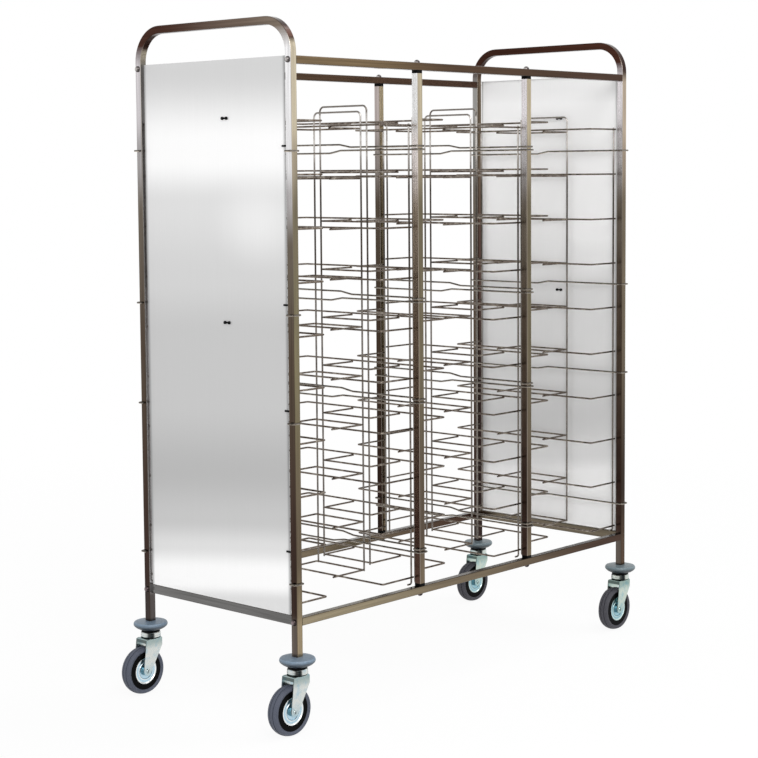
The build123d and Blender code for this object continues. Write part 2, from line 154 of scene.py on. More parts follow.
class TrolleyFinish(bpy.types.PropertyGroup):
    """Colours of the trolley's finishes, most of them painted reflections, painted highlights and
    painted shade
    """

    # Painted reflections on the posts' fronts, by height from the top down to the foot
    front_bright: colour("bdb198", "Post front, top", "Front of the posts near the handles")
    front_sand: colour("998d78", "Post front, upper", "Front of the posts below the brightest part")
    front_olive: colour("716854", "Post front, middle", "Front of the posts at mid height")
    front_dark: colour("5c5044", "Post front, low", "Front of the posts above the lower rails")
    front_foot: colour("8c7c67", "Post front, foot", "Front of the posts near the casters")
    # Painted reflections on the posts' ends, by height from the top down to the foot, and a painted
    # white reflection on the left front post's end
    side_bright: colour("e6e1e4", "Post side, top", "Ends of the posts near the handles")
    side_silver: colour("b4b0b0", "Post side, upper", "Ends of the posts below the brightest part")
    side_taupe: colour("685f54", "Post side, middle", "Ends of the posts at mid height")
    side_brown: colour("51453a", "Post side, lower", "Ends of the posts below mid height")
    side_shadow: colour("3a2b25", "Post side, low", "Ends of the posts above the lower rails")
    side_foot: colour("605750", "Post side, foot", "Ends of the posts near the casters")
    side_white: colour("ecebec", "Post side, white", "White part of the left front post's end")
    # Painted reflections and painted shade on the narrow inner faces of the end posts, beside the
    # sheets
    inner_top: colour("5f5d5b", "Left post inside, top", "Inner faces of the left posts, above")
    inner_low: colour("b4b2b3", "Left post inside, low", "Inner faces of the left posts, below")
    inner_foot: colour("57514f", "Left post inside, foot", "Inner faces under the left cross tube")
    inner_dark: colour("2c1e1b", "Right post inside, low", "Inner faces of the right posts, below")
    inner_brown: colour("553f37", "Right post inside, middle", "The same faces at mid height")
    inner_olive: colour("665848", "Right post inside, top", "The same faces, above")
    # Painted reflections on the handle bars, lighter at the front end than at the back
    handle_near: colour("7b6e62", "Handle, near end", "Handle bar at its front end")
    handle_far: colour("442a21", "Handle, far end", "Handle bar at its back end")
    # Painted reflections on the rails, darker towards the right where less light falls
    top_rail_left: colour("7d6a50", "Top rail, left", "Upper rails at their left end")
    top_rail_right: colour("4b372c", "Top rail, right", "Upper rails at their right end")
    low_rail_left: colour("978b73", "Bottom rail, left", "Lower rails at their left end")
    low_rail_right: colour("453228", "Bottom rail, right", "Lower rails at their right end")
    # Painted reflections on the cross tubes under the sheet ends
    cross_left: colour("6a6968", "Cross tube, left", "Tube under the left sheet end")
    cross_right: colour("6b6253", "Cross tube, right", "Tube under the right sheet end")
    # Painted shade and painted highlight along the tubes' rounded corners
    corner_shade: colour("3b3028", "Corner, dark", "Rounded corners of the end frames and rails")
    corner_highlight: colour("a39a90", "Corner, light", "Rounded corners of the middle posts")
    # Painted reflection bands on the satin sheet ends, and a painted shadow along their upright
    # edges
    sheet_white: colour("ffffff", "Sheet, white", "White bands of the satin sheet ends")
    sheet_pale: colour("e2e2e2", "Sheet, pale", "Pale bands of the satin sheet ends")
    sheet_grey: colour("bcbcbc", "Sheet, grey", "Grey middle of the satin sheet ends")
    sheet_edge_shadow: colour("6d6d6d", "Sheet, edge", "Shaded edge of the satin sheet ends")
    # Drawn wire: dark and bright mirrored streaks that lie at random, and the upright wires' tone,
    # which shows as a painted white reflection near their tops
    wire_dark: colour("52463d", "Wire, dark", "Dark mirrored streaks in the rack wire")
    wire: colour("7a6e63", "Wire", "Drawn steel wire of racks and rods")
    wire_light: colour("b0a79b", "Wire, light", "Bright mirrored streaks in the rack wire")
    wire_white: colour("e4dfda", "Wire, upright", "Upright wires of the racks near their tops")
    # Painted reflections on the dome heads, light on the upper rails and dark on the lower ones
    bolt_top: colour("b9b4b2", "Bolts, top", "Polished dome heads on the upper rails")
    bolt_foot: colour("86787a", "Bolts, bottom", "Polished dome heads on the lower rails")
    zinc_cool: colour("b9ced4", "Zinc, cool", "Blue bloom of the passivated zinc")
    zinc_warm: colour("dedfd8", "Zinc, warm", "Cream bloom of the passivated zinc")
    zinc_low: colour("d3e8f1", "Zinc, axle", "Bluer tint of the forks near the axles")
    zinc_high: colour("c3d2d3", "Zinc, swivel", "Greener tint of the forks near the swivels")
    # Painted dark reflection in the zinc, set by facing
    zinc_dark_reflection: colour("272d30", "Zinc, dark", "Dark mirrored streaks in the zinc")
    # Painted highlight on the discs' outer ring and painted shade at the foot of their bead; their
    # blue and the hub are their own colours
    disc_ring_highlight: colour("f6fbfb", "Disc, rim", "Bright outer ring of the wheel discs")
    disc_blue: colour("bcd9e8", "Disc, blue", "Blue bloom of the wheel discs")
    disc_bead_shade: colour("7fa3b4", "Disc, bead", "Shaded foot of the discs' pressed bead")
    hub: colour("9cc3cd", "Hub", "Zinc bush in the middle of a wheel")
    bumper: colour("6f8295", "Bumper", "Grey bumper discs")
    # Painted shade on the bumpers' underside
    bumper_underside_shade: colour("3a4757", "Bumper, underside", "Shaded underside of the bumper discs")
    tyre: colour("4a4d57", "Tyre", "Grey rubber tyres")
    plastic: colour("040405", "Plastic", "Black caps, rims, seals and clips")


class TrolleySizes(bpy.types.PropertyGroup):
    """Sizes that the weld beads and the camera need"""

    wire: length(5.0 * MM, "Wire", "Diameter of the rack wire")
    hairpin_half: length(86.0 * MM, "Hairpin", "Half the distance between a hairpin's two legs")
    hairpin_offset: length(-4.0 * MM, "Hairpin offset", "How far a hairpin is off its rack's middle")
    loop_outset: length(1.5 * MM, "Loop outset", "How far a loop's arms are outside the hairpin")
    hairpin_rise: length(40.0 * MM, "Hairpin rise", "Height of a hairpin above the highest runner")
    upright_y: length(251.5 * MM, "Uprights", "Distance of a rack's uprights from its middle")
    runner_reach: length(117.0 * MM, "Runner reach", "Distance of the runners from the uprights")
    level_pitch: length(131.5 * MM, "Level pitch", "Height from one runner to the next")
    levels: bpy.props.IntProperty(
        name="Levels", description="Number of runners on a rack", default=10
    )
    rod_step: length(7.0 * MM, "Rod step", "Height of the step in the middle of a rod")
    bead: length(1.9 * MM, "Bead", "Radius of a weld bead")
    lens: bpy.props.FloatProperty(
        name="Lens", description="Focal length of the camera in millimetres", default=86.06
    )
    camera: bpy.props.FloatVectorProperty(
        name="Camera", description="Where the camera stands", subtype="TRANSLATION", unit="LENGTH",
        default=(-3.7351, -3.3665, 1.374),
    )
    camera_turn: angle(-47.544, "Camera turn", "Turn of the camera about the upright")
    camera_tilt: angle(4.658, "Camera tilt", "How far the camera looks down")
    camera_roll: angle(-0.426, "Camera roll", "Tilt of the camera about its own axis")
    camera_shift: bpy.props.FloatProperty(
        name="Camera shift", default=-0.08,
        description="Upward shift of the camera's frame, as a share of its width",
    )


def put(tree, kind, inputs=None, **settings):
    """Adds a node with its settings, and gives each input a value or a link."""
    node = tree.nodes.new(kind)
    for key, value in settings.items():
        setattr(node, key, value)
    for socket, value in (inputs or {}).items():
        if isinstance(value, bpy.types.NodeSocket):
            tree.links.new(value, node.inputs[socket])
        else:
            node.inputs[socket].default_value = value
    return node


def new_material(name, **sockets):
    """A material with one principled shader, whose fixed values are set on its own sockets."""
    material = bpy.data.materials.new(name)
    material.use_nodes = True
    tree = material.node_tree
    tree.nodes.clear()
    shader = put(tree, "ShaderNodeBsdfPrincipled", sockets)
    put(tree, "ShaderNodeOutputMaterial", {"Surface": shader.outputs["BSDF"]})
    return material, tree, shader


def dress(tree, shader, tone, gloss, relief):
    """Leads a finish's tone, roughness and bump to its shader."""
    tree.links.new(tone, shader.inputs["Base Color"])
    tree.links.new(gloss.outputs["Result"], shader.inputs["Roughness"])
    tree.links.new(relief.outputs["Normal"], shader.inputs["Normal"])


def finish_nodes(names, material):
    """Gives CAD nodes one finish."""
    for name in names:
        mesh = nodes[name].data
        mesh.materials.clear()
        mesh.materials.append(material)


def rgba(value):
    """A colour with full opacity."""
    return (*value, 1.0)


def grey(level):
    """An even grey of a given strength."""
    return (level, level, level)


def shade(value, factor):
    """A lighter or darker shade of one colour."""
    return Vector(value) * factor


def shades(value, *factors):
    """Several shades of one colour."""
    return [shade(value, factor) for factor in factors]


def between(first, second, share):
    """A colour that lies a given share of the way from one to another."""
    return Vector(first).lerp(Vector(second), share)


def tinted(stops, tint):
    """The same stops in a tint of their colours, none of them beyond white."""
    return [(place, [min(1.0, c * t) for c, t in zip(value, tint)]) for place, value in stops]


def set_stops(ramp, stops):
    """Gives a colour ramp its stops, from the lowest up."""
    ramp.interpolation = "EASE"
    while len(ramp.elements) < len(stops):
        ramp.elements.new(0.5)
    for element, (place, value) in zip(ramp.elements, stops):
        element.position = place
        element.color = rgba(value)


def ground_lines(tree, spot, along, apart, run):
    """Noise drawn out along one axis, as lines some millimetres apart that run a given length."""
    stretch = [1 / ((run if axis == along else apart) * MM) for axis in "XYZ"]
    place = put(
        tree, "ShaderNodeMapping", {"Vector": spot.outputs["Object"], "Scale": stretch}
    )
    noise = put(
        tree, "ShaderNodeTexNoise",
        {"Vector": place.outputs["Vector"], "Scale": 1.0, "Detail": 4.0, "Roughness": 0.65},
    )
    return noise.outputs["Fac"]


def handle_tones(tree, spot, place, tones, grain, handle):
    """Gives an end frame's inner faces, back post and handle bar tones and lines of their own:
    painted reflections and painted shade.
    """
    broad, edge_on, corner, inner, back = tones
    # The bar's tones begin at heights of their own on the front and the back bend
    front_low, back_low = (z * MM for z in handle["bends"])
    behind = put(
        tree, "ShaderNodeMath", {0: place.outputs["Y"], 1: 0.0}, operation="GREATER_THAN"
    )
    height = put(
        tree, "ShaderNodeMath",
        {0: behind.outputs[0], 1: front_low - back_low, 2: place.outputs["Z"]},
        operation="MULTIPLY_ADD",
    )
    above = put(
        tree, "ShaderNodeMapRange",
        {"Value": height.outputs[0], "From Min": front_low, "From Max": front_low + BEND_RISE},
    )
    # Painted reflection: the narrow inner faces of the posts take the tone of the gap beside the
    # sheet, which they would mirror
    depth = put(tree, "ShaderNodeMath", {0: place.outputs["Y"]}, operation="ABSOLUTE")
    inside = put(
        tree, "ShaderNodeMapRange",
        {"Value": depth.outputs[0], "From Min": INNER_FACE[0], "From Max": INNER_FACE[1]},
    )
    below = put(
        tree, "ShaderNodeMath", {0: 1.0, 1: above.outputs["Result"]}, operation="SUBTRACT"
    )
    gap = put(
        tree, "ShaderNodeMath", {0: inside.outputs["Result"], 1: below.outputs[0]},
        operation="MULTIPLY",
    )
    shaded = put(
        tree, "ShaderNodeMix", {"Factor": gap.outputs[0], "A": broad, "B": inner}, data_type="RGBA"
    )
    # Painted shade: the back post is painted darker than the front one, as it would mirror less of
    # the white studio
    ends = put(
        tree, "ShaderNodeMix", {"Factor": behind.outputs[0], "A": edge_on, "B": back},
        data_type="RGBA",
    )
    # The handle's bar takes its own painted reflection tones from front to back, and its lines run
    # along it
    across = put(
        tree, "ShaderNodeMapRange",
        {"Value": place.outputs["Y"], "From Min": BAR_REACH[0], "From Max": BAR_REACH[1]},
    )
    bar_tone = put(tree, "ShaderNodeValToRGB", {"Fac": across.outputs["Result"]})
    set_stops(bar_tone.color_ramp, handle["bar"])
    topped = put(
        tree, "ShaderNodeMix",
        {"Factor": above.outputs["Result"], "A": ends.outputs[2], "B": bar_tone.outputs["Color"]},
        data_type="RGBA",
    )
    turned = put(
        tree, "ShaderNodeMix",
        {0: above.outputs["Result"], 2: grain, 3: ground_lines(tree, spot, "Y", *TUBE_LINES)},
    )
    return (shaded.outputs[2], topped.outputs[2], corner), turned.outputs[0]


def polished_tube(name, along, edge_axis, broad, edge_on, corner, handle=None):
    """Stainless tube, polished lengthwise: a mirror with painted reflections whose tones run along
    it, with fine lines.

    The stops of its broad faces, narrow faces and corners are places along the tube in millimetres.
    """
    material, tree, shader = new_material(name, Metallic=1.0)
    spot = put(tree, "ShaderNodeTexCoord")
    place = put(tree, "ShaderNodeSeparateXYZ", {"Vector": spot.outputs["Object"]})
    facing = put(tree, "ShaderNodeSeparateXYZ", {"Vector": spot.outputs["Normal"]})
    low, high = (end["XYZ".index(along)] for end in cad_box)
    way = put(
        tree, "ShaderNodeMapRange",
        {"Value": place.outputs[along], "From Min": low, "From Max": high},
    )
    runs = [broad, edge_on, corner]
    if handle:
        runs += [handle["inner"], handle["back"]]
    tones = []
    for stops in runs:
        tone = put(tree, "ShaderNodeValToRGB", {"Fac": way.outputs["Result"]})
        set_stops(tone.color_ramp, [((at * MM - low) / (high - low), value) for at, value in stops])
        tones.append(tone.outputs["Color"])
    sideways = put(tree, "ShaderNodeMath", {0: facing.outputs[edge_axis]}, operation="ABSOLUTE")
    share = put(
        tree, "ShaderNodeMapRange",
        {"Value": sideways.outputs[0], "From Min": FACE_TURN[0], "From Max": FACE_TURN[1]},
    )
    grain = ground_lines(tree, spot, along, *TUBE_LINES)
    if handle:
        tones, grain = handle_tones(tree, spot, place, tones, grain, handle)
    broad_tone, edge_tone, corner_tone = tones
    faces = put(
        tree, "ShaderNodeMix",
        {"Factor": share.outputs["Result"], "A": broad_tone, "B": edge_tone}, data_type="RGBA",
    )
    # A normal that lies between the two kinds of faces belongs to a rounded corner, which takes its
    # painted corner tone
    rest = put(
        tree, "ShaderNodeMath", {0: 1.0, 1: share.outputs["Result"]}, operation="SUBTRACT"
    )
    both = put(
        tree, "ShaderNodeMath", {0: rest.outputs[0], 1: share.outputs["Result"]},
        operation="MULTIPLY",
    )
    rounded = put(
        tree, "ShaderNodeMath", {0: both.outputs[0], 1: CORNER_GAIN}, operation="MULTIPLY",
        use_clamp=True,
    )
    painted_edges = put(
        tree, "ShaderNodeMix",
        {"Factor": rounded.outputs[0], "A": faces.outputs[2], "B": corner_tone}, data_type="RGBA",
    )
    # The polishing lines change tone, gloss and relief together
    streak = put(
        tree, "ShaderNodeMapRange",
        {
            "Value": grain, "From Min": 0.25, "From Max": 0.75, "To Min": TUBE_STREAK[0],
            "To Max": TUBE_STREAK[1],
        },
    )
    tone = put(
        tree, "ShaderNodeMix",
        {"Factor": 1.0, "A": painted_edges.outputs[2], "B": streak.outputs["Result"]},
        data_type="RGBA", blend_type="MULTIPLY",
    )
    polish = put(
        tree, "ShaderNodeMapRange",
        {"Value": grain, "To Min": TUBE_ROUGH[0], "To Max": TUBE_ROUGH[1]},
    )
    lines = put(
        tree, "ShaderNodeBump", {"Height": grain, "Strength": TUBE_BUMP, "Distance": LINE_DEPTH}
    )
    dress(tree, shader, tone.outputs[2], polish, lines)
    return material


def satin_sheet(name, finish):
    """Stainless sheet, belt-ground upright: a soft mirror with painted reflections in broad white,
    pale and grey bands.
    """
    material, tree, shader = new_material(name)
    spot = put(tree, "ShaderNodeTexCoord")
    place = put(tree, "ShaderNodeSeparateXYZ", {"Vector": spot.outputs["Object"]})
    # The faces towards the racks are duller than the outer ones, and painted paler as a stand-in for
    # light
    facing = put(tree, "ShaderNodeSeparateXYZ", {"Vector": spot.outputs["Normal"]})
    outwards = put(
        tree, "ShaderNodeMath", {0: facing.outputs["X"], 1: place.outputs["X"]},
        operation="MULTIPLY",
    )
    outer = put(
        tree, "ShaderNodeMath", {0: outwards.outputs[0], 1: 0.0}, operation="GREATER_THAN"
    )
    metal, painted_lift = (
        put(
            tree, "ShaderNodeMapRange",
            {"Value": outer.outputs[0], "To Min": within, "To Max": without},
        )
        for within, without in (SHEET_METAL, SHEET_PAINTED_LIFT)
    )
    low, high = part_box("end_panel_left")
    # The painted reflection bands lean more towards the floor, as the floor's edge does in a mirror
    slant = put(
        tree, "ShaderNodeMath", {0: place.outputs["Z"], 1: BAND_LEAN[1], 2: BAND_LEAN[0]},
        operation="MULTIPLY_ADD",
    )
    leaning = put(
        tree, "ShaderNodeMath", {0: place.outputs["Y"], 1: slant.outputs[0], 2: place.outputs["Z"]},
        operation="MULTIPLY_ADD",
    )
    height = put(
        tree, "ShaderNodeMapRange",
        {"Value": leaning.outputs[0], "From Min": low.z, "From Max": high.z},
    )
    bands = put(tree, "ShaderNodeValToRGB", {"Fac": height.outputs["Result"]})
    white, pale, dim = finish.sheet_white, finish.sheet_pale, finish.sheet_grey
    middle = between(dim, pale, 0.35)
    upper = between(middle, pale, 0.5)
    set_stops(
        bands.color_ramp,
        [
            (0.0, pale), (0.03, white), (0.055, white), (0.1, pale), (0.15, middle), (0.24, dim),
            (0.37, middle), (0.5, middle), (0.6, upper), (0.74, pale), (0.82, white), (0.85, white),
            (0.98, upper),
        ],
    )
    # Painted highlight: a soft bright patch high up towards the front, where the slightly bowed
    # sheet would mirror a light
    about = put(
        tree, "ShaderNodeMapping",
        {
            "Vector": spot.outputs["Object"],
            "Scale": (0.0, 1 / (PATCH_WIDE * MM), 1 / (PATCH_TALL * MM)),
            "Location": (0.0, -PATCH_Y / PATCH_WIDE, -PATCH_Z / PATCH_TALL),
        },
    )
    away = put(tree, "ShaderNodeVectorMath", {0: about.outputs["Vector"]}, operation="LENGTH")
    bright = put(
        tree, "ShaderNodeMapRange",
        {
            "Value": away.outputs["Value"], "From Min": 0.0, "From Max": 1.0,
            "To Min": PATCH_SHARE, "To Max": 0.0,
        },
        interpolation_type="SMOOTHSTEP",
    )
    with_highlight = put(
        tree, "ShaderNodeMix",
        {"Factor": bright.outputs["Result"], "A": bands.outputs["Color"], "B": rgba(white)},
        data_type="RGBA",
    )
    # Painted shadow: the sheet darkens over its last few millimetres beside the posts
    depth = put(tree, "ShaderNodeMath", {0: place.outputs["Y"]}, operation="ABSOLUTE")
    beside = put(
        tree, "ShaderNodeMapRange",
        {
            "Value": depth.outputs[0], "From Min": high.y - EDGE_STRIP, "From Max": high.y,
            "To Max": EDGE_SHADE,
        },
    )
    painted_edges = put(
        tree, "ShaderNodeMix",
        {
            "Factor": beside.outputs["Result"], "A": with_highlight.outputs[2],
            "B": rgba(finish.sheet_edge_shadow),
        },
        data_type="RGBA",
    )
    # The grinding lines change tone, gloss and relief together
    grain = ground_lines(tree, spot, "Z", *SHEET_LINES)
    streak = put(
        tree, "ShaderNodeMapRange",
        {"Value": grain, "To Min": SHEET_STREAK[0], "To Max": SHEET_STREAK[1]},
    )
    level = put(
        tree, "ShaderNodeMath", {0: streak.outputs["Result"], 1: painted_lift.outputs["Result"]},
        operation="MULTIPLY",
    )
    tone = put(
        tree, "ShaderNodeMix",
        {"Factor": 1.0, "A": painted_edges.outputs[2], "B": level.outputs[0]},
        data_type="RGBA", blend_type="MULTIPLY", clamp_result=True,
    )
    satin = put(
        tree, "ShaderNodeMapRange",
        {"Value": grain, "To Min": SHEET_ROUGH[0], "To Max": SHEET_ROUGH[1]},
    )
    lines = put(
        tree, "ShaderNodeBump", {"Height": grain, "Strength": SHEET_BUMP, "Distance": LINE_DEPTH}
    )
    dress(tree, shader, tone.outputs[2], satin, lines)
    tree.links.new(metal.outputs["Result"], shader.inputs["Metallic"])
    return material


def axle_distance(tree, spot):
    """How far a point of a wheel is from that wheel's axle."""
    boxes = [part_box(f"tyre_{corner}") for corner in CORNERS]
    centres = [(low + high) / 2 for low, high in boxes]
    left, right = min(c.x for c in centres), max(c.x for c in centres)
    place = put(tree, "ShaderNodeSeparateXYZ", {"Vector": spot.outputs["Object"]})
    from_middle = put(
        tree, "ShaderNodeMath", {0: place.outputs["X"], 1: (left + right) / 2}, operation="SUBTRACT"
    )
    either = put(tree, "ShaderNodeMath", {0: from_middle.outputs[0]}, operation="ABSOLUTE")
    along = put(
        tree, "ShaderNodeMath", {0: either.outputs[0], 1: (right - left) / 2}, operation="SUBTRACT"
    )
    up = put(
        tree, "ShaderNodeMath", {0: place.outputs["Z"], 1: centres[0].z}, operation="SUBTRACT"
    )
    arm = put(tree, "ShaderNodeCombineXYZ", {"X": along.outputs[0], "Z": up.outputs[0]})
    reach = put(tree, "ShaderNodeVectorMath", {0: arm.outputs["Vector"]}, operation="LENGTH")
    return reach.outputs["Value"]


def mottled(name, tones, grain_mm, rough, bump, layers=(), hub_metal=None, **sockets):
    """A finish whose tone and gloss vary in patches, tinted in layers by place, facing or axle
    distance; most layers are painted reflections, light and shade.
    """
    material, tree, shader = new_material(name, **sockets)
    spot = put(tree, "ShaderNodeTexCoord")
    patches = put(
        tree, "ShaderNodeTexNoise",
        {
            "Vector": spot.outputs["Object"], "Scale": 1 / (grain_mm * MM), "Detail": 4.0,
            "Roughness": 0.6,
        },
    )
    tone = put(tree, "ShaderNodeValToRGB", {"Fac": patches.outputs["Fac"]})
    steps = len(tones) - 1
    set_stops(
        tone.color_ramp,
        [(NOISE_START + NOISE_SPREAD * i / steps, value) for i, value in enumerate(tones)],
    )
    result = tone.outputs["Color"]
    for source, axis, stops in layers:
        if source == "Axle":
            value = axle_distance(tree, spot)
        else:
            value = put(
                tree, "ShaderNodeSeparateXYZ", {"Vector": spot.outputs[source]}
            ).outputs[axis]
        first, last = stops[0][0], stops[-1][0]
        way = put(
            tree, "ShaderNodeMapRange", {"Value": value, "From Min": first, "From Max": last}
        )
        tint = put(tree, "ShaderNodeValToRGB", {"Fac": way.outputs["Result"]})
        set_stops(tint.color_ramp, [((at - first) / (last - first), part) for at, part in stops])
        layered = put(
            tree, "ShaderNodeMix", {"Factor": 1.0, "A": result, "B": tint.outputs["Color"]},
            data_type="RGBA", blend_type="MULTIPLY",
        )
        result = layered.outputs[2]
    if hub_metal:
        metal = put(
            tree, "ShaderNodeMapRange",
            {
                "Value": axle_distance(tree, spot), "From Min": hub_metal,
                "From Max": hub_metal - BUSH_EDGE,
            },
        )
        tree.links.new(metal.outputs["Result"], shader.inputs["Metallic"])
    gloss = put(
        tree, "ShaderNodeMapRange",
        {
            "Value": patches.outputs["Fac"], "To Min": rough * GLOSS_SHARE[0],
            "To Max": rough * GLOSS_SHARE[1],
        },
    )
    relief = put(
        tree, "ShaderNodeBump",
        {
            "Height": patches.outputs["Fac"], "Strength": bump,
            "Distance": RELIEF_SHARE * grain_mm * MM,
        },
    )
    dress(tree, shader, result, gloss, relief)
    return material


def pair_painted_light(left, right):
    """A layer of painted light that tints the left pair of casters and the right pair, which has
    less light and is painted darker.
    """
    return ("Object", "X", list(zip(CASTER_SPAN, (left, right))))


class TROLLEY_OT_tubes(bpy.types.Operator):
    """Polished steel on the end frames, middle posts, cross tubes, rails and bolts"""

    bl_idname = "trolley.tubes"
    bl_label = "Finish tubes"

    def execute(self, context):
        finish = context.scene.trolley_finish
        # Painted reflections on the posts' fronts and ends: what they would mirror, by height in
        # millimetres
        front = [
            (215, finish.front_foot), (262, finish.front_foot),
            (300, shade(finish.front_foot, 0.72)), (430, finish.front_dark),
            (950, finish.front_olive), (1270, finish.front_olive), (1400, finish.front_sand),
            (1500, finish.front_bright),
        ]
        side = [
            (215, finish.side_foot), (262, finish.side_foot), (300, finish.side_shadow),
            (420, finish.side_shadow), (900, finish.side_brown), (1260, finish.side_taupe),
            (1420, finish.side_silver), (1530, finish.side_bright),
        ]
        self.end_frames(finish, front, side)
        self.middle_posts(finish, front, side)
        self.cross_tubes(finish)
        self.rails(finish)
        self.bolts(finish)
        return {"FINISHED"}

    def end_frames(self, finish, front, side):
        """Painted reflections: the left frame in a lit copy of the post tones, warmer, with white
        sides; the right one in a shaded copy, painted dark at its feet and handle.
        """
        near, far = finish.handle_near, finish.handle_far
        # A lit copy of the front tones for the left frame and a shaded copy, darkest at the feet,
        # for the right one: painted light and painted shade
        lit_front = tinted(front[:5], (1.28, 1.32, 1.24)) + tinted(front[5:], (1.15, 1.17, 1.22))
        dim = tinted(front[:4], (0.32, 0.25, 0.23)) + tinted(front[4:], (0.95, 0.9, 0.96))
        # Painted white reflection high up on the left frame's ends
        white = [
            *side[:5], (1190, finish.side_taupe), (1310, finish.side_silver),
            (1390, finish.side_white),
        ]
        # Painted shade: the back post's feet darker than the front post's
        back = tinted(side[:2], (0.4, 0.36, 0.38)) + side[2:6]
        # Painted reflections on the bends: their outer faces turn dark where they leave the upright,
        # and their tops take a white reflection
        bend_shade = shade(far, 0.6)
        bow = [(1694, bend_shade), (1738, bend_shade), (1744, near), (1746.8, finish.side_silver)]
        # Painted corner tones: dark shade low down and at the bend, a highlight between
        dark, light = finish.corner_shade, finish.corner_highlight
        edges = [(300, dark), (900, dark), (1450, light), (1680, light), (1710, dark)]
        left_handle = {
            "inner": [
                (262, finish.inner_foot), (278, finish.inner_low), (700, finish.inner_low),
                (1650, finish.inner_top),
            ],
            "back": back + tinted(side[6:], grey(0.78)),
            "bar": [(0.0, near), (0.35, between(near, far, 0.4)), (1.0, far)],
            "bends": (1668, 1644),
        }
        left = polished_tube(
            "polished_stainless_left_end", "Z", "X", lit_front + [(1677, lit_front[-1][1])] + bow, white,
            edges, left_handle,
        )
        right_handle = {
            "inner": [
                (262, finish.inner_dark), (700, finish.inner_dark), (1120, finish.inner_brown),
                (1480, finish.inner_olive),
            ],
            "back": back + tinted(side[6:], (0.39, 0.4, 0.37)),
            "bar": [(0.0, far), (1.0, shade(far, 0.7))],
            "bends": (1632, 1632),
        }
        right = polished_tube(
            "polished_stainless_right_end", "Z", "X",
            dim + [(1622, dim[-1][1]), (1664, bend_shade)] + bow, side, edges, right_handle,
        )
        finish_nodes(["end_frame_left"], left)
        finish_nodes(["end_frame_right"], right)

    def middle_posts(self, finish, front, side):
        """The back posts stand in the racks' shade and are painted darker than the front ones; the
        first front post's ends are painted lighter.
        """
        light = finish.corner_highlight
        for post, front_tint, side_tint in (
            ("1_front", (1.0, 1.0, 1.0), (2.0, 1.92, 1.86)),
            ("2_front", (0.94, 0.94, 0.92), (1.0, 1.0, 1.0)),
            ("1_back", (0.7, 0.66, 0.6), (0.55, 0.5, 0.46)),
            ("2_back", (0.7, 0.66, 0.6), (0.55, 0.5, 0.46)),
        ):
            middle = polished_tube(
                f"polished_stainless_post_{post}", "Z", "X", tinted(front, front_tint),
                tinted(side, side_tint), [(0, light), (1700, light)],
            )
            finish_nodes([f"mid_post_{post}"], middle)

    def cross_tubes(self, finish):
        """Painted reflections on the tubes under the sheet ends, with painted shade that makes them
        darker above and below than on their sides.
        """
        dark = finish.corner_shade
        for end, tone in (("left", finish.cross_left), ("right", finish.cross_right)):
            cross = [(-260, tone), (260, shade(tone, 1.15))]
            under = polished_tube(
                f"polished_stainless_{end}_cross_tube", "Y", "Z", cross, tinted(cross, grey(0.6)),
                [(-260, dark), (260, dark)],
            )
            finish_nodes([f"end_cross_tube_{end}"], under)

    def rails(self, finish):
        """Painted reflections: the upper rails' narrow faces take the white above, the lower rails'
        a dark floor, and the rails darken towards the right.
        """
        dark, silver = finish.corner_shade, finish.side_silver
        for level, first, last, fall, glint, strength in (
            ("top", finish.top_rail_left, finish.top_rail_right, 0.85, 0.55, 1.0),
            ("bottom", finish.low_rail_left, finish.low_rail_right, 0.5, 0.0, 0.35),
        ):
            knee = between(first, last, fall)
            tones = [(-650, first), (-450, first), (-50, knee), (650, last)]
            narrow = [(at, between(value, silver, glint) * strength) for at, value in tones]
            rail = polished_tube(
                f"polished_stainless_{level}_rail", "X", "Z", tones, narrow,
                [(-650, dark), (650, dark)],
            )
            finish_nodes([f"{level}_rail_{side}" for side in SIDES], rail)

    def bolts(self, finish):
        """Polished dome heads with painted reflections: bright where they face outwards, lighter
        high up than low down, with painted dark rims.
        """
        dark = finish.corner_shade
        heads = [(276, finish.bolt_foot), (500, finish.bolt_foot), (1500, finish.bolt_top)]
        fixings = polished_tube(
            "polished_stainless_fixings", "Z", "X", tinted(heads, (0.15, 0.13, 0.14)), heads,
            tinted([(276, dark), (1640, dark)], grey(0.35)),
        )
        finish_nodes(["frame_bolts"], fixings)


class TROLLEY_OT_sheets(bpy.types.Operator):
    """Satin steel on the sheet ends"""

    bl_idname = "trolley.sheets"
    bl_label = "Finish sheet ends"

    def execute(self, context):
        satin = satin_sheet("satin_stainless_sheet", context.scene.trolley_finish)
        finish_nodes([f"end_panel_{end}" for end in ENDS], satin)
        return {"FINISHED"}


